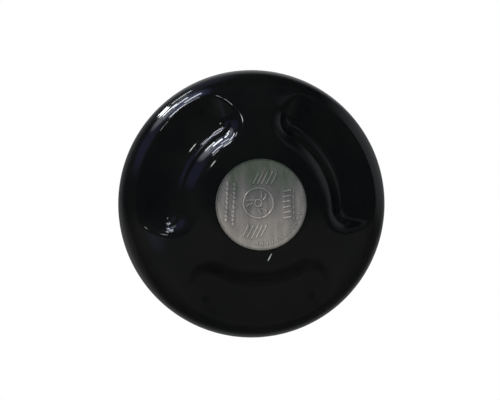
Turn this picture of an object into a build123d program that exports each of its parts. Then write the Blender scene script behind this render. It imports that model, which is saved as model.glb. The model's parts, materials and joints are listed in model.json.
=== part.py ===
from build123d import *
import math
import os

os.makedirs("parts", exist_ok=True)

# A ceiling fan motor: an outer rotor unit that hangs from its fixed hollow shaft.
# +Z is up along the shaft. The origin is the middle of the shaft's cross hole,
# where the downrod is pinned. Heights passed to level() are counted from the
# plane where the two covers meet. All sizes are in millimetres.

# Overall shape
body_radius = 95.0
pin_above_parting = 68.0
parting_z = -pin_above_parting
seat_count = 3
seat_pitch = 360 / seat_count

# Lower cover: a flattened dome with three seats for the blade brackets
dome_depth = 53.5
facet_radius = 31.5
cover_wall = 3.5
seat_depth = 26.0
seat_inner_radius = 55.5
seat_wall_centre = 8.0
seat_half_angle = 41.0
seat_corner_radius = 7.0
seat_wall_draft = 27.5
seat_floor_fillet = 5.0
seat_edge_fillet = 5.5
seat_floor_thickness = 4.5
seat_overshoot = 30.0
blade_hole_radius = 2.1
blade_hole_circle = 73.0
blade_hole_count = 6
first_blade_hole = 30.0
lower_well_depth = 5.3
bearing_lip = 0.7

# Upper cover: a short skirt under a rounded shoulder with a flat top
skirt_height = 10.0
shoulder_centre = 22.0
shoulder_height = 33.0
top_height = 43.0
top_radius = 36.0
vent_count = 18
vent_length = 26.0
vent_width = 4.0
vent_circle = 56.0
vent_roof = 19.0
top_plate = 4.0
top_rounding = 1.0
shoulder_gap = 0.6
shaft_hole_radius = 11.5

# Stator and rotor
stack_bottom = -7.0
stack_top = 11.0
stack_height = stack_top - stack_bottom
stator_radius = 70.0
air_gap = 0.35
slot_count = 28
slot_pitch = 360 / slot_count
slot_width = 6.0
slot_inner_radius = 49.0
slot_outer_radius = 68.0
slot_mouth = 2.2
rotor_inner_radius = stator_radius + air_gap
rotor_outer_radius = 82.0
end_ring_radius = 79.0
end_ring_height = 5.0
bar_count = 44
bar_radius = 1.4
bar_circle = 73.6
end_ring_inset = 0.8
ring_ledge_radius = end_ring_radius + 0.4
ring_wall_radius = 85.0
liner_thickness = 1.0
liner_inner_radius = 44.0
rivet_count = 4
rivet_circle = 34.0
rivet_radius = 2.0
rivet_head_radius = 3.5
rivet_head_height = 1.2
lightening_hole_radius = 6.0
wedge_thickness = 0.9
wedge_side_play = 0.1

# Windings
main_inner, main_outer, main_height = 60.0, 66.8, 9.0
aux_inner, aux_outer, aux_height = 50.0, 57.0, 8.0
coil_side_width = 2.4
coil_side_gap = 0.35
coil_rounding = 2.2
coil_stand_off = 0.2

# Shaft
shaft_top = 80.0
shaft_bottom = -44.0
stator_seat_radius = 12.0
collar_radius = 13.5
end_radius = 9.5
shaft_bore_radius = 5.0
shaft_bore_bottom = 12.0
pin_hole_radius = 3.25
window_radius = 3.6
window_height = 17.0
lower_step_radius = 9.5
lower_step_height = 4.0
shaft_end_start = 40.0
shaft_top_chamfer = 1.0
shaft_bottom_chamfer = 0.8
ring_thickness = 1.0
ring_play = 0.05
ring_groove_depth = 0.6
upper_ring_outer = 12.0
lower_ring_outer = 9.3
ring_gap = 4.5
ring_eye_radius = 1.6
ring_eye_hole = 0.6
ring_eye_angle = 22.0

# Bearings: bore, outside diameter, width, ball diameter, land radii, half the cage's height
upper_bearing_bottom = 24.0
lower_bearing_bottom = -41.0
upper_bearing = {"bore": 20.0, "outside": 47.0, "width": 14.0, "ball": 7.938,
                 "inner_land": 14.4, "outer_land": 19.1, "cage_half": 5.0}
lower_bearing = {"bore": 15.0, "outside": 35.0, "width": 11.0, "ball": 5.953,
                 "inner_land": 10.4, "outer_land": 14.7, "cage_half": 3.9}
ball_count = 8
ball_clearance = 0.05
pocket_clearance = 0.15
shield_thickness = 0.4
shield_gap = 0.3
cage_half_thickness = 1.1
cage_pocket_length = 6.0
housing_wall = 5.5
housing_gap = 0.5
preload_washer_inner = 19.6
preload_washer_outer = 23.2
preload_washer_height = 1.6

# Cover screws, in the three lands between the seats
screw_circle = 87.5
screw_radius = 2.0
screw_clearance_radius = 2.25
screw_boss_radius = 5.0
screw_well_radius = 4.5
screw_well_floor = 12.0
screw_depth = 11.0
screw_head_radius = 3.9
screw_head_height = 2.6
screw_washer_thickness = 0.9
screw_head_rounding = 1.2
screw_cross_length = 4.4
screw_cross_width = 0.9
screw_cross_depth = 1.4

# Badge
badge_radius = 30.0
badge_thickness = 0.6
badge_chamfer = 0.25
adhesive_inset = 1.0
adhesive_thickness = 0.2

# Leads
lead_radius = 0.85
lead_offset = 3.95
lead_pair_spread = 0.9
lead_pair_rise = 0.4
lead_single_drop = 1.8
lead_bend_radius = 3.0
lead_coil_gap = 0.1
socket_depth = 8.0
socket_flange_radius = 7.0
socket_flange_height = 1.2
socket_rounding = 0.6
contact_radius = 0.8
contact_circle = 2.4
contact_depth = 6.0
contact_count = 3


def level(height):
    """The Z of a height above the plane where the covers meet."""
    return parting_z + height


def flat(height):
    """A horizontal plane at a height above the plane where the covers meet."""
    return Plane.XY.offset(level(height))


def downward(height):
    """A horizontal plane that faces down, so that an extrusion from it goes down."""
    return Plane(origin=(0, 0, level(height)), x_dir=(1, 0, 0), z_dir=(0, 0, -1))


def upright(angle):
    """The vertical half plane at an angle around the shaft: X is the radius, Y is Z."""
    turn = math.radians(angle)
    return Plane(
        origin=(0, 0, 0),
        x_dir=(math.cos(turn), math.sin(turn), 0),
        z_dir=(math.sin(turn), -math.cos(turn), 0),
    )


def polar(radius, angle, offset=0.0):
    """A place in a horizontal sketch, turned so that its X points away from the shaft."""
    turn = math.radians(angle)
    x = radius * math.cos(turn) - offset * math.sin(turn)
    y = radius * math.sin(turn) + offset * math.cos(turn)
    return Location((x, y, 0), (0, 0, angle))


def turned_ring(inner, outer, bottom, top):
    """A plain ring around the shaft between two heights."""
    with BuildPart() as ring:
        with BuildSketch(flat(bottom)):
            Circle(outer)
            if inner > 0:
                Circle(inner, mode=Mode.SUBTRACT)
        extrude(amount=top - bottom)
    return ring.part


def save(part, name):
    """Label a finished piece and write its STEP file."""
    part.label = name
    export_step(part, f"parts/{name}.step")


# ---------------------------------------------------------------- lower cover


def seat_space(depth, side_growth, rounding):
    """The space of one blade seat, on +X: its end walls and its inner wall lean outwards.

    The inner wall is an arc about a point behind the shaft, so it is a little flatter
    than a circle around the shaft. Its ends lie on the two lines of the end walls.
    """
    outer_radius = body_radius + seat_overshoot
    wall_radius = seat_inner_radius + seat_wall_centre
    half_angle = math.radians(seat_half_angle)
    wall_half_angle = seat_half_angle - math.degrees(
        math.asin(seat_wall_centre * math.sin(half_angle) / wall_radius)
    )
    with BuildPart() as space:
        with BuildSketch(downward(-depth)) as outline:
            with BuildLine():
                middle = (-seat_wall_centre, 0)
                inner = CenterArc(middle, wall_radius, -wall_half_angle, 2 * wall_half_angle)
                outer = CenterArc((0, 0), outer_radius, -seat_half_angle, 2 * seat_half_angle)
                Line(inner @ 0, outer @ 0)
                Line(inner @ 1, outer @ 1)
            make_face()
            if side_growth > 0:
                offset(amount=side_growth, kind=Kind.INTERSECTION)
            fillet(outline.vertices().sort_by(lambda v: math.hypot(v.X, v.Y))[:2], seat_corner_radius)
        extrude(amount=dome_depth, taper=-seat_wall_draft)
        if rounding > 0:
            floor = space.faces().sort_by(Axis.Z)[-1]
            fillet(floor.edges(), rounding)
    return space.part


def dome_solid(radius, depth, flat_radius):
    """A flattened dome under the parting plane, cut flat at its lowest point."""
    facet_angle = math.degrees(math.acos(flat_radius / radius))
    with BuildPart() as dome:
        with BuildSketch(Plane.XZ):
            with BuildLine():
                flank = EllipticalCenterArc((0, parting_z), radius, depth, 0, arc_size=-facet_angle)
                low = min(flank @ 0, flank @ 1, key=lambda point: point.Y)
                Line(low, (0, low.Y))
                Line((0, low.Y), (0, parting_z))
                Line((0, parting_z), (radius, parting_z))
            make_face()
        revolve(axis=Axis.Z)
    return dome.part


facet_height = -dome_depth * math.sqrt(1 - (facet_radius / body_radius) ** 2)
inner_dome_radius = body_radius - cover_wall
inner_dome_depth = dome_depth - cover_wall
land_angles = [seat_pitch * (i + 0.5) for i in range(seat_count)]
seat_angles = [seat_pitch * i for i in range(seat_count)]
lower_housing_radius = lower_bearing["outside"] / 2 + housing_wall
lower_housing_top = lower_bearing_bottom + lower_bearing["width"] + housing_gap
draft_slope = math.tan(math.radians(seat_wall_draft))
inner_seat_depth = seat_depth - seat_floor_thickness
wall_offset = cover_wall / math.cos(math.radians(seat_wall_draft))
seat_side_growth = wall_offset - seat_floor_thickness * draft_slope

blade_seat = seat_space(seat_depth, 0, seat_floor_fillet)
seat_shell = seat_space(inner_seat_depth, seat_side_growth, 0)

with BuildPart() as lower_hollow:
    add(dome_solid(inner_dome_radius, inner_dome_depth, facet_radius))
    with BuildSketch(flat(-dome_depth)):
        Circle(ring_ledge_radius)
    extrude(amount=dome_depth, mode=Mode.INTERSECT)
    with BuildSketch(flat(-10)):
        Circle(inner_dome_radius - 2)
        Circle(ring_wall_radius, mode=Mode.SUBTRACT)
    extrude(amount=10)
    for angle in seat_angles:
        add(seat_shell, rotation=(0, 0, angle), mode=Mode.SUBTRACT)
    with BuildSketch(flat(-dome_depth)):
        with Locations(*[polar(screw_circle, angle) for angle in land_angles]):
            Circle(screw_boss_radius)
    extrude(amount=dome_depth, mode=Mode.SUBTRACT)
    add(turned_ring(0, lower_housing_radius, -dome_depth, lower_housing_top), mode=Mode.SUBTRACT)
    add(turned_ring(0, rotor_outer_radius, stack_bottom, 0))

with BuildPart() as lower_cover:
    add(dome_solid(body_radius, dome_depth, facet_radius))
    for angle in seat_angles:
        add(blade_seat, rotation=(0, 0, angle), mode=Mode.SUBTRACT)
    wall_edges = lower_cover.edges().filter_by(GeomType.BSPLINE)
    hub_edges = wall_edges.filter_by(lambda edge: edge.center().Z < level(-38))
    fillet(hub_edges, seat_edge_fillet)
    add(lower_hollow.part, mode=Mode.SUBTRACT)
    with BuildSketch(flat(lower_bearing_bottom)):
        Circle(lower_bearing["outside"] / 2)
    extrude(amount=lower_housing_top - lower_bearing_bottom, mode=Mode.SUBTRACT)
    with BuildSketch(flat(lower_bearing_bottom)):
        Circle(lower_bearing["outer_land"] - bearing_lip)
    extrude(amount=-lower_well_depth, mode=Mode.SUBTRACT)
    with BuildSketch(flat(-seat_depth - 1)):
        with PolarLocations(blade_hole_circle, blade_hole_count, start_angle=first_blade_hole):
            Circle(blade_hole_radius)
    extrude(amount=seat_floor_thickness + 2, mode=Mode.SUBTRACT)
    with BuildSketch(flat(0)):
        with Locations(*[polar(screw_circle, angle) for angle in land_angles]):
            Circle(screw_radius)
    extrude(amount=-screw_depth, mode=Mode.SUBTRACT)
save(lower_cover.part, "lower_cover")

# ---------------------------------------------------------------- upper cover


def shoulder_solid(radius, skirt, height):
    """The outline of the upper cover: a straight skirt, then a rounded shoulder."""
    with BuildPart() as body:
        with BuildSketch(Plane.XZ):
            with BuildLine():
                start = (shoulder_centre, level(skirt))
                EllipticalCenterArc(start, radius - shoulder_centre, height, 0, arc_size=90)
                Line((shoulder_centre, level(skirt + height)), (0, level(skirt + height)))
                Line((0, level(skirt + height)), (0, parting_z))
                Line((0, parting_z), (radius, parting_z))
                Line((radius, parting_z), (radius, level(skirt)))
            make_face()
        revolve(axis=Axis.Z)
    return body.part


bearing_roof = upper_bearing_bottom + upper_bearing["width"] + preload_washer_height
upper_housing_radius = upper_bearing["outside"] / 2 + housing_wall

with BuildPart() as upper_hollow:
    add(shoulder_solid(body_radius - cover_wall, skirt_height, shoulder_height - cover_wall))
    add(turned_ring(0, ring_ledge_radius, 0, top_height), mode=Mode.INTERSECT)
    add(turned_ring(ring_wall_radius, body_radius - cover_wall, 0, skirt_height + 6))
    with BuildSketch(flat(0)):
        with Locations(*[polar(screw_circle, angle) for angle in land_angles]):
            Circle(screw_boss_radius + 1)
    extrude(amount=top_height, mode=Mode.SUBTRACT)
    add(turned_ring(0, upper_housing_radius, upper_bearing_bottom - 1, top_height), mode=Mode.SUBTRACT)
    add(turned_ring(0, rotor_outer_radius, 0, stack_top))

with BuildPart() as upper_cover:
    add(shoulder_solid(body_radius, skirt_height, shoulder_height - shoulder_gap))
    add(turned_ring(0, top_radius, top_height - top_plate, top_height))
    fillet(upper_cover.edges().filter_by(GeomType.CIRCLE).sort_by(Axis.Z)[-1], top_rounding)
    add(upper_hollow.part, mode=Mode.SUBTRACT)
    with BuildSketch(flat(upper_bearing_bottom - 1)):
        Circle(upper_bearing["outside"] / 2)
    extrude(amount=bearing_roof - upper_bearing_bottom + 1, mode=Mode.SUBTRACT)
    with BuildSketch(flat(bearing_roof)):
        Circle(shaft_hole_radius)
    extrude(amount=top_height - bearing_roof, mode=Mode.SUBTRACT)
    with BuildSketch(flat(vent_roof)):
        with PolarLocations(vent_circle, vent_count, start_angle=180 / vent_count):
            SlotOverall(vent_length, vent_width)
    extrude(amount=top_height, mode=Mode.SUBTRACT)
    with BuildSketch(flat(0)):
        with Locations(*[polar(screw_circle, angle) for angle in land_angles]):
            Circle(screw_clearance_radius)
    extrude(amount=screw_well_floor, mode=Mode.SUBTRACT)
    with BuildSketch(flat(screw_well_floor)):
        with Locations(*[polar(screw_circle, angle) for angle in land_angles]):
            Circle(screw_well_radius)
    extrude(amount=top_height, mode=Mode.SUBTRACT)
save(upper_cover.part, "upper_cover")

# ---------------------------------------------------------------- shaft

upper_journal_radius = upper_bearing["bore"] / 2
lower_journal_radius = lower_bearing["bore"] / 2
upper_ring_bottom = upper_bearing_bottom + upper_bearing["width"] + ring_play
lower_ring_top = lower_bearing_bottom - ring_play
lower_shoulder = lower_bearing_bottom + lower_bearing["width"]

with BuildPart() as shaft:
    add(turned_ring(0, lower_journal_radius, shaft_bottom, lower_shoulder))
    add(turned_ring(0, lower_step_radius, lower_shoulder, lower_shoulder + lower_step_height))
    add(turned_ring(0, stator_seat_radius, lower_shoulder + lower_step_height, stack_top))
    add(turned_ring(0, collar_radius, stack_top, upper_bearing_bottom))
    add(turned_ring(0, upper_journal_radius, upper_bearing_bottom, shaft_end_start))
    add(turned_ring(0, end_radius, shaft_end_start, shaft_top))
    chamfer(shaft.edges().sort_by(Axis.Z)[-1], shaft_top_chamfer)
    chamfer(shaft.edges().sort_by(Axis.Z)[0], shaft_bottom_chamfer)
    with BuildSketch(flat(upper_ring_bottom)):
        Circle(upper_journal_radius + 1)
        Circle(upper_journal_radius - ring_groove_depth, mode=Mode.SUBTRACT)
    extrude(amount=ring_thickness, mode=Mode.SUBTRACT)
    with BuildSketch(flat(lower_ring_top - ring_thickness)):
        Circle(lower_journal_radius + 1)
        Circle(lower_journal_radius - ring_groove_depth, mode=Mode.SUBTRACT)
    extrude(amount=ring_thickness, mode=Mode.SUBTRACT)
    with BuildSketch(flat(shaft_bore_bottom)):
        Circle(shaft_bore_radius)
    extrude(amount=shaft_top - shaft_bore_bottom, mode=Mode.SUBTRACT)
    with BuildSketch(Plane.YZ):
        with Locations((0, level(window_height))):
            Circle(window_radius)
    extrude(amount=collar_radius + 1, mode=Mode.SUBTRACT)
    with BuildSketch(Plane.XZ):
        Circle(pin_hole_radius)
    extrude(amount=end_radius + 1, both=True, mode=Mode.SUBTRACT)
save(shaft.part, "shaft")


def retaining_ring(inner, outer, bottom):
    """A spring ring for a shaft groove: an open ring with two eyes at the gap."""
    with BuildPart() as ring:
        with BuildSketch(flat(bottom)):
            Circle(outer)
            with Locations(polar(outer, ring_eye_angle), polar(outer, -ring_eye_angle)):
                Circle(ring_eye_radius)
            Circle(inner, mode=Mode.SUBTRACT)
            with Locations((outer, 0)):
                Rectangle(outer, ring_gap, mode=Mode.SUBTRACT)
            with Locations(polar(outer, ring_eye_angle), polar(outer, -ring_eye_angle)):
                Circle(ring_eye_hole, mode=Mode.SUBTRACT)
        extrude(amount=ring_thickness)
    return ring.part


upper_groove_radius = upper_journal_radius - ring_groove_depth
lower_groove_radius = lower_journal_radius - ring_groove_depth
save(retaining_ring(upper_groove_radius, upper_ring_outer, upper_ring_bottom), "upper_retaining_ring")
lower_ring_bottom = lower_ring_top - ring_thickness
save(retaining_ring(lower_groove_radius, lower_ring_outer, lower_ring_bottom), "lower_retaining_ring")

# ---------------------------------------------------------------- bearings


def bearing(name, size, bottom):
    """A deep groove ball bearing in five nodes: races, balls, cage and shields."""
    width = size["width"]
    top = bottom + width
    middle = bottom + width / 2
    ball_radius = size["ball"] / 2
    ball_circle = (size["bore"] + size["outside"]) / 4
    groove_radius = ball_radius + ball_clearance
    races = {
        "inner_race": (size["bore"] / 2, size["inner_land"]),
        "outer_race": (size["outer_land"], size["outside"] / 2),
    }
    for piece, (inner, outer) in races.items():
        with BuildPart() as race:
            add(turned_ring(inner, outer, bottom, top))
            with BuildSketch(Plane.XZ):
                with Locations((ball_circle, level(middle))):
                    Circle(groove_radius)
            revolve(axis=Axis.Z, mode=Mode.SUBTRACT)
        save(race.part, f"{name}_{piece}")

    with BuildPart() as balls:
        with Locations((0, 0, level(middle))):
            with PolarLocations(ball_circle, ball_count):
                Sphere(ball_radius)
    save(balls.part, f"{name}_balls")

    half = size["cage_half"]
    cage_inner = ball_circle - cage_half_thickness
    cage_outer = ball_circle + cage_half_thickness
    pocket_radius = ball_radius + pocket_clearance
    with BuildPart() as cage:
        add(turned_ring(cage_inner, cage_outer, middle - half, middle + half))
        with Locations((0, 0, level(middle))):
            with PolarLocations(ball_circle, ball_count):
                Cylinder(pocket_radius, cage_pocket_length, rotation=(0, 90, 0), mode=Mode.SUBTRACT)
    save(cage.part, f"{name}_cage")

    shield_inner = size["inner_land"] + shield_gap
    with BuildPart() as shields:
        for start in (bottom + shield_gap, top - shield_gap - shield_thickness):
            add(turned_ring(shield_inner, size["outer_land"], start, start + shield_thickness))
    save(shields.part, f"{name}_shields")


bearing("upper_bearing", upper_bearing, upper_bearing_bottom)
bearing("lower_bearing", lower_bearing, lower_bearing_bottom)

washer_bottom = upper_bearing_bottom + upper_bearing["width"]
preload_washer = turned_ring(preload_washer_inner, preload_washer_outer, washer_bottom, bearing_roof)
save(preload_washer, "bearing_preload_washer")

# ---------------------------------------------------------------- stator


def lamination(bottom, top, inner):
    """A stack of stator sheet: a disc with slots that open outwards."""
    with BuildPart() as stack:
        with BuildSketch(flat(bottom)):
            Circle(stator_radius)
            Circle(inner, mode=Mode.SUBTRACT)
            slot_middle = (slot_inner_radius + slot_outer_radius) / 2
            with PolarLocations(slot_middle, slot_count):
                Rectangle(slot_outer_radius - slot_inner_radius, slot_width, mode=Mode.SUBTRACT)
            with PolarLocations(slot_outer_radius + 1, slot_count):
                Rectangle(4, slot_mouth, mode=Mode.SUBTRACT)
            if inner < rivet_circle:
                with PolarLocations(rivet_circle, rivet_count, start_angle=45):
                    Circle(rivet_radius, mode=Mode.SUBTRACT)
                with PolarLocations(rivet_circle, rivet_count):
                    Circle(lightening_hole_radius, mode=Mode.SUBTRACT)
        extrude(amount=top - bottom)
    return stack.part


save(lamination(stack_bottom, stack_top, stator_seat_radius), "stator_core")
save(lamination(stack_top, stack_top + liner_thickness, liner_inner_radius), "upper_end_insulator")
save(lamination(stack_bottom - liner_thickness, stack_bottom, liner_inner_radius), "lower_end_insulator")

with BuildPart() as rivets:
    with BuildSketch(flat(stack_bottom)):
        with PolarLocations(rivet_circle, rivet_count, start_angle=45):
            Circle(rivet_radius)
    extrude(amount=stack_height)
    for start in (stack_bottom - rivet_head_height, stack_top):
        with BuildSketch(flat(start)):
            with PolarLocations(rivet_circle, rivet_count, start_angle=45):
                Circle(rivet_head_radius)
        extrude(amount=rivet_head_height)
save(rivets.part, "core_rivets")

with BuildPart() as wedges:
    with BuildSketch(flat(stack_bottom - liner_thickness)):
        with PolarLocations(slot_outer_radius - 0.5, slot_count):
            Rectangle(wedge_thickness, slot_width - 2 * wedge_side_play)
    extrude(amount=stack_height + 2 * liner_thickness)
save(wedges.part, "slot_wedges")


def winding(inner, outer, height, first_slot):
    """Coils that each span two slot pitches, side by side around the stack."""
    side_reach = coil_side_gap + coil_side_width / 2
    side_middle = (inner + outer) / 2
    edge_angle = math.degrees(coil_side_gap / side_middle)
    turn_arc = 2 * (slot_pitch - edge_angle)
    bottom = stack_bottom - liner_thickness - coil_stand_off
    top = stack_top + liner_thickness + coil_stand_off
    with BuildPart() as coil:
        with BuildSketch(flat(bottom - height / 2)):
            for side in (-1, 1):
                with Locations(polar(side_middle, side * slot_pitch, -side * side_reach)):
                    Rectangle(outer - inner, coil_side_width)
        extrude(amount=top - bottom + height)
        for start in (bottom - height, top):
            with BuildSketch(upright(edge_angle - slot_pitch)):
                with Locations((side_middle, level(start + height / 2))):
                    RectangleRounded(outer - inner, height, coil_rounding)
            revolve(axis=Axis.Z, revolution_arc=turn_arc)
    with BuildPart() as coils:
        with PolarLocations(0, slot_count // 2, start_angle=first_slot * slot_pitch):
            add(coil.part)
    return coils.part


save(winding(main_inner, main_outer, main_height, 1), "main_winding")
save(winding(aux_inner, aux_outer, aux_height, 0), "auxiliary_winding")

# ---------------------------------------------------------------- rotor

with BuildPart() as rotor_core:
    with BuildSketch(flat(stack_bottom)):
        Circle(rotor_outer_radius)
        Circle(rotor_inner_radius, mode=Mode.SUBTRACT)
        with PolarLocations(bar_circle, bar_count):
            Circle(bar_radius, mode=Mode.SUBTRACT)
    extrude(amount=stack_height)
save(rotor_core.part, "rotor_core")

with BuildPart() as rotor_cage:
    with BuildSketch(flat(stack_bottom)):
        with PolarLocations(bar_circle, bar_count):
            Circle(bar_radius)
    extrude(amount=stack_height)
    end_ring_inner = rotor_inner_radius + end_ring_inset
    for start in (stack_bottom - end_ring_height, stack_top):
        add(turned_ring(end_ring_inner, end_ring_radius, start, start + end_ring_height))
save(rotor_cage.part, "rotor_cage")

# ---------------------------------------------------------------- screws

head_bottom = screw_well_floor + screw_washer_thickness
with BuildPart() as cover_screws:
    with BuildSketch(flat(-screw_depth)):
        with Locations(*[polar(screw_circle, angle) for angle in land_angles]):
            Circle(screw_radius)
    extrude(amount=screw_depth + head_bottom)
    with BuildSketch(flat(head_bottom)):
        with Locations(*[polar(screw_circle, angle) for angle in land_angles]):
            Circle(screw_head_radius)
    extrude(amount=screw_head_height)
    fillet(cover_screws.edges().group_by(Axis.Z)[-1], screw_head_rounding)
    with BuildSketch(flat(head_bottom + screw_head_height)):
        with Locations(*[polar(screw_circle, angle) for angle in land_angles]):
            Rectangle(screw_cross_length, screw_cross_width)
            Rectangle(screw_cross_width, screw_cross_length)
    extrude(amount=-screw_cross_depth, mode=Mode.SUBTRACT)
save(cover_screws.part, "cover_screws")

with BuildPart() as cover_washers:
    with BuildSketch(flat(screw_well_floor)):
        with Locations(*[polar(screw_circle, angle) for angle in land_angles]):
            Circle(screw_head_radius)
            Circle(screw_clearance_radius, mode=Mode.SUBTRACT)
    extrude(amount=screw_washer_thickness)
save(cover_washers.part, "cover_screw_washers")

# ---------------------------------------------------------------- badge

adhesive_bottom = facet_height - adhesive_thickness
save(turned_ring(0, badge_radius - adhesive_inset, adhesive_bottom, facet_height), "badge_adhesive")

with BuildPart() as badge:
    add(turned_ring(0, badge_radius, adhesive_bottom - badge_thickness, adhesive_bottom))
    chamfer(badge.edges().sort_by(Axis.Z)[0], badge_chamfer)
save(badge.part, "badge_plate")

# ---------------------------------------------------------------- leads and socket

# The leads pass the cross hole beside the downrod's pin: a pair on its +X side and one
# on its -X side. Each entry is a lead's X, its Y and its height in the window.
socket_bottom = shaft_top - socket_depth
lead_start_radius = aux_inner - lead_coil_gap
pair_height = window_height + lead_pair_rise
single_height = window_height - lead_single_drop
lead_places = [
    (lead_offset, lead_pair_spread, pair_height),
    (lead_offset, -lead_pair_spread, pair_height),
    (-lead_offset, 0, single_height),
]

with BuildPart() as leads:
    for x, y, height in lead_places:
        with BuildLine(Plane.XZ.offset(-y)) as route:
            FilletPolyline(
                (lead_start_radius, level(height)),
                (x, level(height)),
                (x, level(socket_bottom)),
                radius=lead_bend_radius,
            )
        with BuildSketch(Plane(route.line @ 0, z_dir=route.line % 0)):
            Circle(lead_radius)
        sweep(path=route.line)
save(leads.part, "motor_leads")

with BuildPart() as socket:
    with BuildSketch(flat(socket_bottom)):
        Circle(shaft_bore_radius)
    extrude(amount=socket_depth)
    with BuildSketch(flat(shaft_top)):
        Circle(socket_flange_radius)
    extrude(amount=socket_flange_height)
    fillet(socket.edges().sort_by(Axis.Z)[-1], socket_rounding)
    with BuildSketch(flat(shaft_top + socket_flange_height)):
        with PolarLocations(contact_circle, contact_count):
            Circle(contact_radius)
    extrude(amount=-contact_depth, mode=Mode.SUBTRACT)
save(socket.part, "lead_socket")
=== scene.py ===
import json
import math
import random

import bmesh
import bpy
import numpy as np
from mathutils import Matrix, Vector


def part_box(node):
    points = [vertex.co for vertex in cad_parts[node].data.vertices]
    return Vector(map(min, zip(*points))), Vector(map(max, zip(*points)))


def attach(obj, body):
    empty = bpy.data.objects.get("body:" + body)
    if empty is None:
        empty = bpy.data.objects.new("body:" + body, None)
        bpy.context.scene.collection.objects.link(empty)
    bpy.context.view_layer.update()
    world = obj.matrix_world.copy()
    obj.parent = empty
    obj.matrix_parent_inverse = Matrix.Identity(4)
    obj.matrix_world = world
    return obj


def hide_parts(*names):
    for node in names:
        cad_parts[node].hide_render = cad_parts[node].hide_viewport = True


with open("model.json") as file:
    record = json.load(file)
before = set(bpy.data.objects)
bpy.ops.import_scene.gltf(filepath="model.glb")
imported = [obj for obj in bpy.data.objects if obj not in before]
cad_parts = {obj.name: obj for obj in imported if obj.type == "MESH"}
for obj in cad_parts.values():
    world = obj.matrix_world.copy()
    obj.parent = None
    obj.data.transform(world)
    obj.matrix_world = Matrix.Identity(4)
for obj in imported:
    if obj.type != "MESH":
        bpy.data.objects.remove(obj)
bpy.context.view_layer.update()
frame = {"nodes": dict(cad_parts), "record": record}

# A ceiling fan motor, seen from below. Lengths are metres in the row frame, +Z up.
MM = 0.001
scene = bpy.context.scene
scene.view_settings.view_transform = "Standard"
rng = random.Random(7)

# ------------------------------------------------------------------ places read from the frame
cover_low, cover_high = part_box("lower_cover")
badge_low, badge_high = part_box("badge_plate")
PARTING = cover_high.z
BADGE_RADIUS = badge_high.x
SEATS = 3
SEAT_PITCH = math.tau / SEATS

# Lower cover, as in the CAD: millimetres
SHELL_RADIUS = 95.0
DOME_DEPTH = 53.5
FACET_RADIUS = 31.5
FACET_DEPTH = DOME_DEPTH * math.sqrt(1 - (FACET_RADIUS / SHELL_RADIUS) ** 2)
WALL = 3.5
SEAT_DEPTH = 26.0
SEAT_INNER = 55.5
SEAT_CENTRE = 8.0
SEAT_HALF = math.radians(41.0)
SEAT_DRAFT = math.radians(27.5)
SEAT_CORNER = 7.0
SEAT_FLOOR = 4.5
HOLE_CIRCLE = 73.0
HOLE_RADIUS = 2.1
HOLES = 6
FIRST_HOLE = math.radians(30)

# Not as in the CAD, in mm: a rounder foot for the seats' walls, and a chamfer for the blade holes
SEAT_FOOT = 5.5
HOLE_CHAMFER = 0.4
CHAMFER_REACH = 0.2

# How far the tool that cuts the blade holes reaches past the seat's floor, in mm
CUT_INSIDE = 6
CUT_OUTSIDE = 4

# Rounding in mm: between seat and dome at some distances from the shaft, at the facet, and inside
ROUNDING_AT = [50, 66, 80]
ROUNDING = [10.0, 6.0, 0.8]
FACET_ROUNDING = 0.8
INNER_ROUNDING = 3.0
INNER_FOOT = 2.0

# Rings around the shaft inside the cover: corners of (radius, depth), in mm
BEARING_HOUSING = [(17.5, 29.5), (22.5, 29.5), (22.5, 48.0), (17.5, 48.0)]
ROTOR_LEDGE = [(79.4, 7.0), (82.0, 7.0), (82.0, 0.3), (85.0, 0.3), (85.0, 12.0), (88.0, 15.0), (79.4, 22.0)]

# Badge: how far its flat face lies inside the CAD's and how high its lines are, in mm, and their gain
BADGE_SINK = 0.12
LINE_HEIGHT = 0.24
RELIEF = 2.1

# The photograph's view: which way its right and up point, and how far it leans
VIEW_TURN = math.radians(31.0)
VIEW_TILT = math.radians(6.3)
VIEW_LIFT = math.radians(0.45)
VIEW_DISTANCE = 0.637
VIEW_LENS = 64.35
VIEW_SHIFT = (-0.0057, 0.0078)
RIGHT = Vector((math.cos(VIEW_TURN), math.sin(VIEW_TURN), 0))
UP = Vector((math.sin(VIEW_TURN), -math.cos(VIEW_TURN), 0))
NEAR = Vector((0, 0, -1))
MIDDLE = Vector((0, 0, PARTING))
FLOOR_DROP = 2.2


# ------------------------------------------------------------------ camera


def place_camera():
    """Below the motor and a little to the left, looking at the middle of its body."""
    data = bpy.data.cameras.new("photo_camera")
    data.lens = VIEW_LENS
    data.sensor_width = 36.0
    data.shift_x, data.shift_y = VIEW_SHIFT
    data.clip_end = 20
    camera = bpy.data.objects.new("photo_camera", data)
    scene.collection.objects.link(camera)
    lean = RIGHT * math.sin(VIEW_TILT) - UP * math.sin(VIEW_LIFT)
    back = (NEAR * math.cos(VIEW_TILT) - lean).normalized()
    side = UP.cross(back).normalized()
    above = back.cross(side)
    turn = Matrix((side, above, back)).transposed().to_4x4()
    camera.matrix_world = Matrix.Translation(MIDDLE + back * VIEW_DISTANCE) @ turn
    scene.camera = camera


place_camera()


# ------------------------------------------------------------------ mesh helpers


def mesh_object(name, verts, faces, material):
    """A new mesh object from its points, in metres, and its faces."""
    mesh = bpy.data.meshes.new(name)
    mesh.from_pydata([tuple(map(float, v)) for v in verts], [], [tuple(map(int, f)) for f in faces])
    mesh.validate()
    mesh.polygons.foreach_set("use_smooth", [True] * len(mesh.polygons))
    mesh.materials.append(material)
    obj = bpy.data.objects.new(name, mesh)
    scene.collection.objects.link(obj)
    return obj


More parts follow.
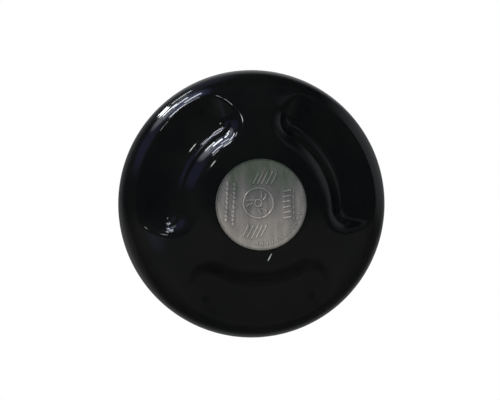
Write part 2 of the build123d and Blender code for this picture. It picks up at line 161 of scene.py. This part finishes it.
def grid_faces(rows, columns):
    """Quads between rings of points that each close on themselves."""
    row, column = np.meshgrid(np.arange(rows - 1), np.arange(columns), indexing="ij")
    following = (column + 1) % columns
    a = row * columns + column
    b = row * columns + following
    c = (row + 1) * columns + following
    d = (row + 1) * columns + column
    return np.stack([a, b, c, d], axis=-1).reshape(-1, 4).tolist()


def close_ends(verts, faces, columns, first_depth, last_depth):
    """Two points on the shaft's line, joined by fans of faces to the first and last rings."""
    centre = len(verts)
    last = centre - columns
    for column in range(columns):
        following = (column + 1) % columns
        faces.append((following, column, centre))
        faces.append((last + column, last + following, centre + 1))
    ends = [(0, 0, PARTING - first_depth * MM), (0, 0, PARTING - last_depth * MM)]
    return np.concatenate([verts, ends])


def ring_points(radii, depths, angles):
    """Rings of points around the shaft: radius and depth under the parting plane, in mm."""
    angles = np.broadcast_to(angles, radii.shape)
    x = radii * np.cos(angles) * MM
    y = radii * np.sin(angles) * MM
    z = PARTING - depths * MM
    return np.stack([x, y, z], axis=-1).reshape(-1, 3)


def turned(profile, columns=128):
    """A closed ring swept from a profile of (radius, depth) corners, in mm."""
    corners = np.array(profile + profile[:1])
    angles = np.arange(columns) * math.tau / columns
    radii = np.repeat(corners[:, :1], columns, axis=1)
    depths = np.repeat(corners[:, 1:], columns, axis=1)
    return ring_points(radii, depths, angles), grid_faces(len(corners), columns)


# ------------------------------------------------------------------ shape of the lower cover


def smooth_min(a, b, width):
    """The lower of two heights, with their crossing rounded over the width."""
    share = np.clip(0.5 + 0.5 * (b - a) / width, 0, 1)
    return b + (a - b) * share - width * share * (1 - share)


def seat_wall(radius, angle, beside, foot):
    """Height of the nearest seat's walls over its floor, in mm, drawn back by beside."""
    turn = (angle + SEAT_PITCH / 2) % SEAT_PITCH - SEAT_PITCH / 2
    reach = np.hypot(radius * np.cos(turn) + SEAT_CENTRE, radius * np.sin(turn)) - SEAT_CENTRE
    back = beside / math.cos(SEAT_DRAFT)
    inward = SEAT_INNER - reach - back
    sideways = radius * np.sin(np.abs(turn) - SEAT_HALF) - back
    corner = np.hypot(np.maximum(inward + SEAT_CORNER, 0), np.maximum(sideways + SEAT_CORNER, 0))
    outside = corner + np.minimum(np.maximum(inward, sideways) + SEAT_CORNER, 0) - SEAT_CORNER
    return rounded_ramp(outside, foot) / math.tan(SEAT_DRAFT)


def rounded_ramp(distance, width):
    """Nothing inside the seat, the distance outside it, and a round foot between them."""
    return 0.5 * (distance + np.sqrt(distance * distance + width * width))


def outer_depth(radius, angle):
    """Depth of the cover's painted skin under the parting plane, in mm."""
    dome = DOME_DEPTH * np.sqrt(np.clip(1 - (radius / SHELL_RADIUS) ** 2, 0, 1))
    seat = SEAT_DEPTH + seat_wall(radius, angle, 0, SEAT_FOOT)
    skin = smooth_min(dome, seat, np.interp(radius, ROUNDING_AT, ROUNDING))
    return smooth_min(skin, np.full_like(skin, FACET_DEPTH), FACET_ROUNDING)


def inner_depth(radius, angle):
    """Depth of the cover's inner skin, which follows the outer one a wall further in."""
    inner_radius = SHELL_RADIUS - WALL
    dome = (DOME_DEPTH - WALL) * np.sqrt(np.clip(1 - (radius / inner_radius) ** 2, 0, 1))
    seat = SEAT_DEPTH - SEAT_FLOOR + seat_wall(radius, angle, WALL, INNER_FOOT)
    skin = smooth_min(dome, seat, INNER_ROUNDING)
    return smooth_min(skin, np.full_like(skin, FACET_DEPTH - WALL), FACET_ROUNDING)


def build_lower_cover(material):
    """The painted dome with its seats, its inner skin, bearing housing and rotor ledge."""
    columns = 480
    angles = np.arange(columns) * math.tau / columns
    facet_rings = [4, 12, 20, 26, 29, 30.5]
    steps = np.linspace(math.acos(FACET_RADIUS / SHELL_RADIUS), 0, 150)
    outside = np.concatenate([facet_rings, SHELL_RADIUS * np.cos(steps)])
    inside = (SHELL_RADIUS - WALL) * np.cos(np.linspace(0, math.acos(0.04), 60))
    radii = np.repeat(outside[:, None], columns, axis=1)
    depths = outer_depth(radii, angles[None, :])
    inner_radii = np.repeat(inside[:, None], columns, axis=1)
    inner_depths = inner_depth(inner_radii, angles[None, :])
    verts = np.concatenate(
        [ring_points(radii, depths, angles), ring_points(inner_radii, inner_depths, angles)]
    )
    faces = grid_faces(len(outside) + len(inside), columns)
    verts = close_ends(verts, faces, columns, FACET_DEPTH, FACET_DEPTH - WALL)
    skin = mesh_object("blade_seat_skin", verts, faces, material)
    tidy_normals(skin)
    cut_blade_holes(skin)
    housing = mesh_object("inner_ring", *turned(BEARING_HOUSING), material)
    ledge = mesh_object("inner_ring", *turned(ROTOR_LEDGE, 240), material)
    return joined("lower_cover_shell", [skin, housing, ledge])


def joined(name, parts):
    """Several mesh objects as one, under a new name."""
    whole = bmesh.new()
    for part in parts:
        whole.from_mesh(part.data)
    mesh = parts[0].data
    whole.to_mesh(mesh)
    whole.free()
    for part in parts[1:]:
        bpy.data.objects.remove(part)
    parts[0].name = name
    tidy_normals(parts[0])
    return parts[0]


def tidy_normals(obj):
    """Faces point outwards, and edges sharper than 50 degrees stay crisp."""
    bm = bmesh.new()
    bm.from_mesh(obj.data)
    bmesh.ops.recalc_face_normals(bm, faces=bm.faces)
    bm.to_mesh(obj.data)
    bm.free()
    obj.data.set_sharp_from_angle(angle=math.radians(50))


def add_cutter(cutter, centre, start, end, start_radius, end_radius):
    """A round plug between two depths under the parting plane, in mm."""
    made = bmesh.ops.create_cone(
        cutter, cap_ends=True, segments=48, radius1=start_radius * MM, radius2=end_radius * MM,
        depth=(end - start) * MM,
    )
    middle = Vector((0, 0, PARTING - (start + end) / 2 * MM))
    for vert in made["verts"]:
        vert.co = Vector((vert.co.x, vert.co.y, -vert.co.z)) + centre + middle


def cut_blade_holes(cover):
    """The tapped holes for the blade screws, each with a slight chamfer at its mouth."""
    cutter = bmesh.new()
    for index in range(HOLES):
        turn = FIRST_HOLE + index * math.tau / HOLES
        centre = Vector((math.cos(turn), math.sin(turn), 0)) * HOLE_CIRCLE * MM
        through = (SEAT_DEPTH - CUT_INSIDE, SEAT_DEPTH + CUT_OUTSIDE)
        mouth = (SEAT_DEPTH - CHAMFER_REACH, SEAT_DEPTH + CHAMFER_REACH)
        add_cutter(cutter, centre, *through, HOLE_RADIUS, HOLE_RADIUS)
        add_cutter(cutter, centre, *mouth, HOLE_RADIUS, HOLE_RADIUS + HOLE_CHAMFER)
    bmesh.ops.recalc_face_normals(cutter, faces=cutter.faces)
    mesh = bpy.data.meshes.new("blade_hole_cutter")
    cutter.to_mesh(mesh)
    cutter.free()
    tool = bpy.data.objects.new("blade_hole_cutter", mesh)
    scene.collection.objects.link(tool)
    cut = cover.modifiers.new("blade_holes", "BOOLEAN")
    cut.operation = "DIFFERENCE"
    cut.solver = "EXACT"
    cut.object = tool
    apply_modifiers(cover)
    bpy.data.objects.remove(tool)


def apply_modifiers(obj):
    """Keep what the modifiers make as the object's own mesh."""
    depsgraph = bpy.context.evaluated_depsgraph_get()
    result = bpy.data.meshes.new_from_object(obj.evaluated_get(depsgraph))
    obj.modifiers.clear()
    old = obj.data
    obj.data = result
    bpy.data.meshes.remove(old)


# ------------------------------------------------------------------ badge relief

def bar(u, v, centre, length, width, turn):
    """Signed distance to a round-ended bar, in mm."""
    du, dv = u - centre[0], v - centre[1]
    along = du * math.cos(turn) + dv * math.sin(turn)
    across = -du * math.sin(turn) + dv * math.cos(turn)
    past = np.maximum(np.abs(along) - length / 2, 0)
    return np.hypot(past, across) - width / 2


def raised(distance, height, edge=0.8):
    """Relief of a shape: full height inside it and a short slope at its edge."""
    return RELIEF * height * (1 - np.clip(distance / edge + 0.5, 0, 1))


def rotor_mark(u, v):
    """A plain three-vane rotor in a ring, left of the middle."""
    eu, ev = u + 2.0, v - 1.0
    hub = np.hypot(eu, ev)
    shapes = [raised(np.abs(hub - ring) - 0.5, LINE_HEIGHT) for ring in (9.8, 2.3)]
    for vane in range(3):
        for shift in (0.0, 0.5):
            swirl = vane * math.tau / 3 + 0.5 + shift + (hub - 3) * 0.07
            du = eu * np.cos(swirl) + ev * np.sin(swirl)
            dv = -eu * np.sin(swirl) + ev * np.cos(swirl)
            line = np.hypot(np.maximum(np.abs(du - 5.9) - 2.0, 0), dv) - 0.45
            shapes.append(raised(line, LINE_HEIGHT))
    return shapes


def slanted_flutes(u, v):
    """Five slanted strokes over the rotor and five under it."""
    shapes = []
    for side in (-1, 1):
        for step in range(5):
            off = abs(step - 2)
            spot = (-1.0 + 3.4 * side + 3.0 * (step - 2), 18.0 * side - 0.4 * side * off)
            shapes.append(raised(bar(u, v, spot, 10.0 - off, 0.9, 1.1), 0.22))
    return shapes


def dash_columns(u, v):
    """Two columns of short uneven dashes at the left."""
    shapes = []
    for column in (-22.8, -18.2):
        place = -13.5
        while place < 14.5:
            length = rng.uniform(0.8, 2.2)
            spot = (column + 0.05 * place, place + length / 2)
            if math.hypot(*spot) < 26.5:
                shapes.append(raised(bar(u, v, spot, length, 1.3, 1.6), LINE_HEIGHT))
                shapes.append(raised(bar(u, v, spot, 2.2, 0.7, rng.uniform(-0.5, 0.5)), LINE_HEIGHT))
            place += length + 1.6
    return shapes


def ladder(u, v):
    """Bars one over the other at the right, each with a short stroke beside it."""
    shapes = []
    for step in range(6):
        spot = (16.8 + 0.2 * abs(step - 3), -8.4 + 3.5 * step)
        beside = (spot[0] + 4.2, spot[1] - 0.6)
        shapes.append(raised(bar(u, v, spot, 4.6, 1.1, 0.2), 0.26))
        shapes.append(raised(bar(u, v, beside, 1.6, 0.8, 1.5), LINE_HEIGHT))
    return shapes


def edge_ticks(u, v):
    """Short strokes along the lower right edge."""
    shapes = []
    for tick in range(12):
        turn = math.radians(-96 + 7.5 * tick)
        spot = (25.6 * math.cos(turn), 25.6 * math.sin(turn))
        shapes.append(raised(bar(u, v, spot, 1.4, 1.0, turn), 0.2))
    return shapes


def badge_relief(u, v):
    """Height of the embossing over the badge, in mm. u is right and v is up in the view."""
    rim = raised(np.abs(np.hypot(u, v) - 29.5) - 0.3, 0.09)
    shapes = [rim, *rotor_mark(u, v), *slanted_flutes(u, v), *dash_columns(u, v)]
    shapes += [*ladder(u, v), *edge_ticks(u, v)]
    return np.maximum.reduce(shapes)


def build_badge(material):
    """The embossed disc: a fine relief on its face, a rolled edge and a flat back."""
    columns, rows = 560, 170
    edge = BADGE_RADIUS / MM
    angles = np.arange(columns) * math.tau / columns
    radii = np.linspace(0.4, edge - 0.25, rows)
    face_depth = (PARTING - badge_low.z) / MM
    back_depth = (PARTING - badge_high.z) / MM
    radius_grid = np.repeat(radii[:, None], columns, axis=1)
    x = radius_grid * np.cos(angles)
    y = radius_grid * np.sin(angles)
    u = x * RIGHT.x + y * RIGHT.y
    v = x * UP.x + y * UP.y
    depths = face_depth - BADGE_SINK + badge_relief(u, v)
    rim = np.array([[edge - 0.06, face_depth - 0.02], [edge, face_depth - 0.15], [edge, back_depth]])
    rim = np.vstack([rim, [[edge - 0.1, back_depth], [0.4, back_depth]]])
    radius_grid = np.vstack([radius_grid, np.repeat(rim[:, :1], columns, axis=1)])
    depths = np.vstack([depths, np.repeat(rim[:, 1:], columns, axis=1)])
    verts = ring_points(radius_grid, depths, angles)
    faces = grid_faces(rows + len(rim), columns)
    verts = close_ends(verts, faces, columns, depths[0, 0], back_depth)
    badge = mesh_object("badge_relief_disc", verts, faces, material)
    tidy_normals(badge)
    return badge


# ------------------------------------------------------------------ materials


def add_node(tree, kind, inputs=None, **settings):
    """A new node with its settings; each input is a value or another node's output."""
    made = tree.nodes.new(kind)
    for key, value in settings.items():
        setattr(made, key, value)
    for key, value in (inputs or {}).items():
        if hasattr(value, "is_output"):
            tree.links.new(value, made.inputs[key])
        else:
            made.inputs[key].default_value = value
    return made


class Paint:
    """A Principled material and short calls for the nodes that feed it."""

    def __init__(self, name, **values):
        self.material = bpy.data.materials.new(name)
        self.material.use_nodes = True
        self.tree = self.material.node_tree
        self.shader = self.tree.nodes["Principled BSDF"]
        for key, value in values.items():
            self.shader.inputs[key.replace("_", " ")].default_value = value
        self.place = self.node("ShaderNodeTexCoord").outputs["Object"]

    def node(self, kind, inputs=None, **settings):
        return add_node(self.tree, kind, inputs, **settings)

    def stretched(self, scale, turn=0.0):
        """The object's own coordinates, turned about the shaft and then scaled by axis."""
        inputs = {"Vector": self.place, "Angle": turn}
        place = self.node("ShaderNodeVectorRotate", inputs, rotation_type="Z_AXIS").outputs["Vector"]
        inputs = {"Vector": place, "Scale": scale}
        return self.node("ShaderNodeMapping", inputs).outputs["Vector"]

    def noise(self, scale, detail=3.0, vector=None, roughness=0.5):
        inputs = {"Vector": vector or self.place, "Scale": scale, "Detail": detail, "Roughness": roughness}
        return self.node("ShaderNodeTexNoise", inputs).outputs["Fac"]

    def ranged(self, value, low, high, start=0.0, end=1.0):
        """value mapped from between start and end to between low and high."""
        inputs = {"Value": value, "From Min": start, "From Max": end, "To Min": low, "To Max": high}
        return self.node("ShaderNodeMapRange", inputs).outputs["Result"]

    def colours(self, value, *stops):
        ramp = self.node("ShaderNodeValToRGB", {"Fac": value})
        elements = ramp.color_ramp.elements
        while len(elements) < len(stops):
            elements.new(0.5)
        for element, (position, colour) in zip(elements, stops):
            element.position = position
            element.color = (*colour, 1)
        return ramp.outputs["Color"]

    def mixed(self, share, first, second):
        """The first colour turning into the second as the share goes from nothing to one."""
        inputs = {"Factor": share, "A": first, "B": second}
        return self.node("ShaderNodeMix", inputs, data_type="RGBA").outputs["Result"]

    def feed(self, socket, value):
        self.tree.links.new(value, self.shader.inputs[socket])

    def bump(self, *layers):
        """Bumps laid over each other: (height, strength, distance)."""
        normal = None
        for height, strength, distance in layers:
            inputs = {"Height": height, "Strength": strength, "Distance": distance}
            if normal:
                inputs["Normal"] = normal
            normal = self.node("ShaderNodeBump", inputs).outputs["Normal"]
        self.feed("Normal", normal)


def black_gloss_paint():
    """Gloss black over cast aluminium: orange peel, dust, hairline marks and one chip."""
    paint = Paint("black_gloss_paint", Coat_Weight=1.0, Coat_Roughness=0.02, Specular_IOR_Level=0.22)
    cloud = paint.noise(38, 4)
    tint = paint.colours(cloud, (0.3, (0.0022, 0.0023, 0.0026)), (0.75, (0.0042, 0.0043, 0.0040)))
    specks = paint.ranged(paint.noise(2600, 2), 0.0, 1.0, 0.79, 0.86)
    dusty = paint.mixed(specks, tint, (0.05, 0.05, 0.048, 1))
    paint.feed("Base Color", paint.mixed(chip_mask(paint), dusty, (0.42, 0.44, 0.43, 1)))
    smears = paint.noise(14, 5, roughness=0.65)
    paint.feed("Roughness", paint.ranged(smears, 0.05, 0.17, 0.3, 0.75))
    scratches = paint.noise(90, 6, paint.stretched((1, 14, 6), 0.7), 0.7)
    paint.bump(
        (paint.noise(110, 2), 0.5, 0.00016),
        (paint.noise(300, 3), 0.25, 0.00004),
        (scratches, 0.08, 0.00002),
    )
    return paint.material


def chip_mask(paint):
    """One where the paint is chipped off in a short slanted stroke beside the badge."""
    spot = RIGHT * 0.0056 - UP * 0.0350
    stroke = RIGHT * 0.45 + UP * 0.9
    slant = math.atan2(stroke.y, stroke.x)
    moved = paint.node("ShaderNodeVectorMath", {0: paint.place, 1: spot}, operation="SUBTRACT")
    turned_place = paint.node(
        "ShaderNodeVectorRotate", {"Vector": moved.outputs[0], "Angle": -slant}, rotation_type="Z_AXIS"
    )
    shrink = (380, 2300, 0)
    size = paint.node("ShaderNodeVectorMath", {0: turned_place.outputs[0], 1: shrink},
                      operation="MULTIPLY")
    length = paint.node("ShaderNodeVectorMath", {0: size.outputs[0]}, operation="LENGTH")
    ragged = paint.noise(900, 3)
    edge = paint.node("ShaderNodeMath", {0: length.outputs["Value"], 1: ragged}, operation="ADD")
    return paint.ranged(edge.outputs[0], 1.0, 0.0, 1.35, 1.5)


def embossed_aluminium():
    """Embossed aluminium sheet: brushed one way, with painted shade darker towards the top, painted shade
    in the creases and painted highlights on the raised tops.
    """
    paint = Paint("embossed_aluminium", Metallic=0.6)
    # Painted shade: the colour is lighter towards the bottom of the view and darker, greenish, towards the
    # top; the stretched blotches laid over it are stains.
    across = paint.node("ShaderNodeVectorMath", {0: paint.place, 1: tuple(UP)}, operation="DOT_PRODUCT")
    painted_top_shade = paint.ranged(across.outputs["Value"], 0.0, 1.0, -0.026, 0.03)
    blotch = paint.noise(26, 4, paint.stretched((7, 1.6, 1), -VIEW_TURN), 0.6)
    stain = paint.ranged(blotch, -0.24, 0.24, 0.3, 0.7)
    painted_shade_and_stain = paint.node("ShaderNodeMath", {0: painted_top_shade, 1: stain}, operation="ADD")
    tint = paint.colours(
        painted_shade_and_stain.outputs[0],
        (0.0, (0.56, 0.52, 0.48)), (0.3, (0.41, 0.385, 0.375)),
        (0.6, (0.25, 0.245, 0.25)), (1.0, (0.13, 0.165, 0.13)),
    )
    face = badge_low.z + BADGE_SINK * MM
    depth = paint.node("ShaderNodeSeparateXYZ", {0: paint.place}).outputs["Z"]
    height = paint.ranged(depth, 0.0, 1.0, face, face - LINE_HEIGHT * RELIEF * MM)
    # Painted shade and highlight: the colour darkens in a band at the foot of each raised line and
    # brightens to white on the raised tops, as glints.
    painted_crease_shade_and_glint = paint.colours(
        height, (0.0, (0.62, 0.62, 0.62)), (0.12, (0.30, 0.31, 0.32)),
        (0.45, (0.5, 0.5, 0.5)), (0.85, (1.0, 1.0, 1.0)),
    )
    tint_with_painted_relief_light = paint.node("ShaderNodeVectorMath", {0: tint, 1: painted_crease_shade_and_glint}, operation="MULTIPLY")
    inputs = {0: tint_with_painted_relief_light.outputs[0], "Scale": 1.72}
    paint.feed("Base Color", paint.node("ShaderNodeVectorMath", inputs, operation="SCALE").outputs[0])
    paint.feed("Roughness", paint.ranged(paint.noise(260, 3), 0.24, 0.4, 0.3, 0.7))
    brushed = paint.noise(70, 5, paint.stretched((34, 1.6, 1), -VIEW_TURN), 0.65)
    paint.bump((brushed, 0.25, 0.00005), (paint.noise(1700, 2), 0.15, 0.00002))
    return paint.material


def turned_steel(name, shade, rough=0.28):
    """Ground or turned steel, with shade and gloss that vary in bands around its axis."""
    paint = Paint(name, Metallic=0.6)
    marks = paint.noise(40, 2, paint.stretched((0.4, 0.4, 11)), 0.5)
    low = (shade * 0.93, shade * 0.93, shade * 0.93)
    high = (shade, shade, shade * 0.985)
    paint.feed("Base Color", paint.colours(marks, (0.3, low), (0.7, high)))
    paint.feed("Roughness", paint.ranged(marks, rough * 0.9, rough * 1.15, 0.3, 0.7))
    return paint.material


def stacked_sheet():
    """The edges of thin steel sheets in a stack, varnished."""
    paint = Paint("stacked_sheet", Metallic=0.85)
    bands = paint.node("ShaderNodeTexWave", {"Vector": paint.place, "Scale": 318.0, "Distortion": 0.0},
                       bands_direction="Z").outputs["Fac"]
    rust = paint.noise(90, 4)
    paint.feed("Base Color", paint.colours(rust, (0.3, (0.12, 0.125, 0.14)), (0.8, (0.26, 0.24, 0.23))))
    paint.feed("Roughness", paint.ranged(rust, 0.35, 0.6))
    paint.bump((bands, 0.6, 0.00012), (paint.noise(700, 2), 0.2, 0.00003))
    return paint.material


def enamelled_copper(name, deep, bright):
    """Turns of enamelled wire laid side by side under varnish."""
    paint = Paint(name, Metallic=0.9, Coat_Weight=0.4, Coat_Roughness=0.15)
    wires = paint.node("ShaderNodeTexWave", {"Vector": paint.place, "Scale": 260.0, "Distortion": 2.5,
                       "Detail": 1.0, "Detail Scale": 1.5}, bands_direction="Z").outputs["Fac"]
    paint.feed("Base Color", paint.colours(wires, (0.05, deep), (0.6, bright)))
    paint.feed("Roughness", paint.ranged(paint.noise(300, 3), 0.22, 0.42))
    paint.bump((wires, 0.8, 0.0003), (paint.noise(500, 2), 0.2, 0.00005))
    return paint.material


def plastic(name, dark, light, low, high, grain=600, peak=0.00004):
    """Moulded plastic, board or film with a fine grain and slight shade changes."""
    paint = Paint(name)
    paint.feed("Base Color", paint.colours(paint.noise(45, 4), (0.3, dark), (0.7, light)))
    paint.feed("Roughness", paint.ranged(paint.noise(130, 3), low, high))
    paint.bump((paint.noise(grain, 3), 0.3, peak))
    return paint.material


def cast_metal():
    """Aluminium as cast: grainy and a little dull."""
    paint = Paint("cast_metal", Metallic=1.0)
    grain = paint.noise(420, 5)
    paint.feed("Base Color", paint.colours(grain, (0.3, (0.5, 0.5, 0.5)), (0.7, (0.68, 0.68, 0.67))))
    paint.feed("Roughness", paint.ranged(grain, 0.35, 0.6))
    paint.bump((grain, 0.5, 0.0001))
    return paint.material


def paint_nodes():
    """Each carried-over CAD node takes the material of its slot."""
    looks = {
        "black_paint": black_gloss_paint(),
        "badge_aluminium": embossed_aluminium(),
        "adhesive": plastic("adhesive_film", (0.7, 0.68, 0.6), (0.85, 0.83, 0.76), 0.3, 0.5),
        "shaft_steel": turned_steel("shaft_steel", 0.62),
        "electrical_steel": stacked_sheet(),
        "cast_aluminium": cast_metal(),
        "copper_main": enamelled_copper("copper_main", (0.22, 0.06, 0.02), (0.72, 0.3, 0.14)),
        "copper_auxiliary": enamelled_copper("copper_auxiliary", (0.14, 0.03, 0.015), (0.5, 0.16, 0.08)),
        "insulator_board": plastic("insulator_board", (0.5, 0.44, 0.3), (0.68, 0.62, 0.46), 0.5, 0.8),
        "bearing_steel": turned_steel("bearing_steel", 0.78, 0.1),
        "shield_steel": turned_steel("shield_steel", 0.6, 0.3),
        "cage_plastic": plastic("cage_plastic", (0.55, 0.5, 0.36), (0.7, 0.65, 0.5), 0.35, 0.55),
        "spring_steel": turned_steel("spring_steel", 0.16, 0.35),
        "zinc_steel": turned_steel("zinc_steel", 0.66, 0.25),
        "socket_plastic": plastic("socket_plastic", (0.75, 0.75, 0.7), (0.86, 0.86, 0.82), 0.3, 0.45),
        "lead_sleeve": plastic("lead_sleeve", (0.35, 0.02, 0.015), (0.5, 0.04, 0.03), 0.25, 0.4),
    }
    for subpart in frame["record"]["subparts"]:
        for material_slot in frame["nodes"][subpart["node"]].material_slots:
            material_slot.material = looks[subpart["material_slot"]]
    return looks


looks = paint_nodes()

# ------------------------------------------------------------------ pieces

lower_shell = build_lower_cover(looks["black_paint"])
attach(lower_shell, "rotor")
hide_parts("lower_cover")

badge = build_badge(looks["badge_aluminium"])
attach(badge, "rotor")
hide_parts("badge_plate")


# ------------------------------------------------------------------ room and light


def toward(azimuth, polar):
    """A direction in the photograph's view: azimuth from its right, polar from the viewer."""
    turn, lean = math.radians(azimuth), math.radians(polar)
    side = RIGHT * math.cos(turn) + UP * math.sin(turn)
    return NEAR * math.cos(lean) + side * math.sin(lean)


def soft_panel(name, azimuth, polar, distance, width, height, radiance, colour=(1, 1, 1), glossy=True):
    """A rectangular lamp that faces the motor's middle, as bright to look at as radiance."""
    data = bpy.data.lights.new(name, "AREA")
    data.shape = "RECTANGLE"
    data.size, data.size_y = width, height
    data.energy = radiance * math.pi * width * height
    data.color = colour
    lamp = bpy.data.objects.new(name, data)
    scene.collection.objects.link(lamp)
    direction = toward(azimuth, polar)
    lamp.location = MIDDLE + direction * distance
    across = NEAR.cross(direction).normalized()
    along = direction.cross(across)
    lamp.matrix_world = Matrix.Translation(lamp.location) @ Matrix(
        (across, along, direction)).transposed().to_4x4()
    lamp.visible_camera = False
    lamp.visible_glossy = glossy
    return lamp


def window_lamps():
    """A window at the upper left in uneven panes, which leave broken streaks on the gloss."""
    for row in range(6):
        for column in range(2):
            azimuth = 117 + 10 * column + 0.8 * row + rng.uniform(-3, 3)
            polar = 85 + 6.8 * row + 2.5 * column + rng.uniform(-1.0, 1.0)
            width = rng.uniform(0.13, 0.30)
            height = rng.uniform(0.03, 0.075)
            radiance = rng.choice((1.0, 7.0, 15.0))
            soft_panel(f"window_{row}_{column}", azimuth, polar, 1.6, width, height, radiance,
                       (0.93, 0.97, 1.0))
    soft_panel("window_pane", 130, 116, 1.6, 0.14, 0.13, 17.0, (0.97, 0.98, 1.0))


def studio():
    """Lamps for the light and for the streaks on the gloss, and a pale floor far below."""
    window_lamps()
    # name, azimuth, polar, distance, width, height, radiance
    soft_panel("front_fill", -75, 35, 1.2, 0.9, 0.9, 0.3, (1, 0.985, 0.965), glossy=False)
    soft_panel("raking_fill", 140, 79, 1.2, 0.2, 0.2, 100.0, (0.97, 1, 0.98), glossy=False)
    soft_panel("badge_glint", 136, 57, 1.2, 0.11, 0.11, 10.0)
    soft_panel("overhead", 100, 156, 1.8, 1.2, 0.8, 2.2, glossy=False)

    paint = Paint("pale_floor", Roughness=0.8)
    clouds = paint.noise(3, 4)
    paint.feed("Base Color", paint.colours(clouds, (0.3, (0.78, 0.78, 0.77)), (0.7, (0.82, 0.82, 0.81))))
    bpy.ops.mesh.primitive_plane_add(size=90, location=(0, 0, PARTING - FLOOR_DROP))
    floor = bpy.context.object
    floor.name = "floor"
    floor.data.materials.append(paint.material)
    floor.visible_glossy = False


# What the gloss mirrors beside the window: azimuth, polar, spread in degrees, colour
GLOWS = (
    (20, 112, 31, (0.11, 0.113, 0.117)),
    (30, 84, 27, (0.050, 0.051, 0.053)),
    (60, 74, 15, (0.08, 0.082, 0.081)),
    (104, 122, 14, (0.045, 0.05, 0.085)),
    (124, 106, 16, (0.13, 0.16, 0.22)),
    (119, 98, 15, (0.22, 0.23, 0.58)),
    (134, 108, 9, (0.75, 0.78, 0.85)),
    (150, 99, 19, (0.060, 0.064, 0.165)),
    (199, 68, 13, (0.05, 0.052, 0.13)),
    (205, 128, 24, (0.055, 0.055, 0.055)),
    (80, 154, 30, (0.16, 0.16, 0.165)),
)


def room_world():
    """White where the camera looks past the motor; mirrored, a dim room with soft glows."""
    world = bpy.data.worlds.new("room")
    scene.world = world
    world.use_nodes = True
    world.node_tree.nodes.clear()

    def make(kind, inputs=None, **settings):
        return add_node(world.node_tree, kind, inputs, **settings)

    direction = make("ShaderNodeTexCoord").outputs["Generated"]

    def facing(way, low, high, start, end):
        """A share from low to high as the direction turns toward a way."""
        turned_to = make("ShaderNodeVectorMath", {0: direction, 1: tuple(way)}, operation="DOT_PRODUCT")
        inputs = {"Value": turned_to.outputs["Value"], "From Min": start, "From Max": end,
                  "To Min": low, "To Max": high}
        return make("ShaderNodeMapRange", inputs, interpolation_type="SMOOTHSTEP").outputs["Result"]

    def scaled(colour, share):
        inputs = {0: colour, "Scale": share}
        return make("ShaderNodeVectorMath", inputs, operation="SCALE").outputs[0]

    lower = scaled((0.080, 0.088, 0.080), facing(UP, 1.0, 0.0, -0.24, 0.02))
    upper = scaled((0.020, 0.026, 0.030), facing(UP, 0.0, 1.0, -0.24, 0.02))
    base = make("ShaderNodeVectorMath", {0: lower, 1: upper}, operation="ADD").outputs[0]
    mirrored = scaled(base, facing(NEAR, 0.22, 1.0, -0.35, 0.3))
    ceiling = scaled((0.09, 0.09, 0.095), facing(NEAR, 1.0, 0.0, -0.85, -0.5))
    mirrored = make("ShaderNodeVectorMath", {0: mirrored, 1: ceiling}, operation="ADD").outputs[0]
    for azimuth, polar, spread, colour in GLOWS:
        share = facing(toward(azimuth, polar), 0.0, 1.0, math.cos(math.radians(spread)), 1.0)
        glow = scaled(colour, share)
        mirrored = make("ShaderNodeVectorMath", {0: mirrored, 1: glow}, operation="ADD").outputs[0]
    room = make("ShaderNodeBackground", {"Color": mirrored, "Strength": 1.0})
    open_air = make("ShaderNodeBackground", {"Color": (1, 1, 1, 1), "Strength": 1.0})
    skylight = scaled((1, 1, 1), facing(NEAR, 1.0, 0.12, -0.4, 0.0))
    soft = make("ShaderNodeBackground", {"Color": skylight, "Strength": 1.0})
    path = make("ShaderNodeLightPath")
    indirect = make("ShaderNodeMixShader", {0: path.outputs["Is Glossy Ray"], 1: soft.outputs[0],
                    2: room.outputs[0]})
    final = make("ShaderNodeMixShader", {0: path.outputs["Is Camera Ray"], 1: indirect.outputs[0],
                 2: open_air.outputs[0]})
    make("ShaderNodeOutputWorld", {"Surface": final.outputs[0]})


studio()
room_world()
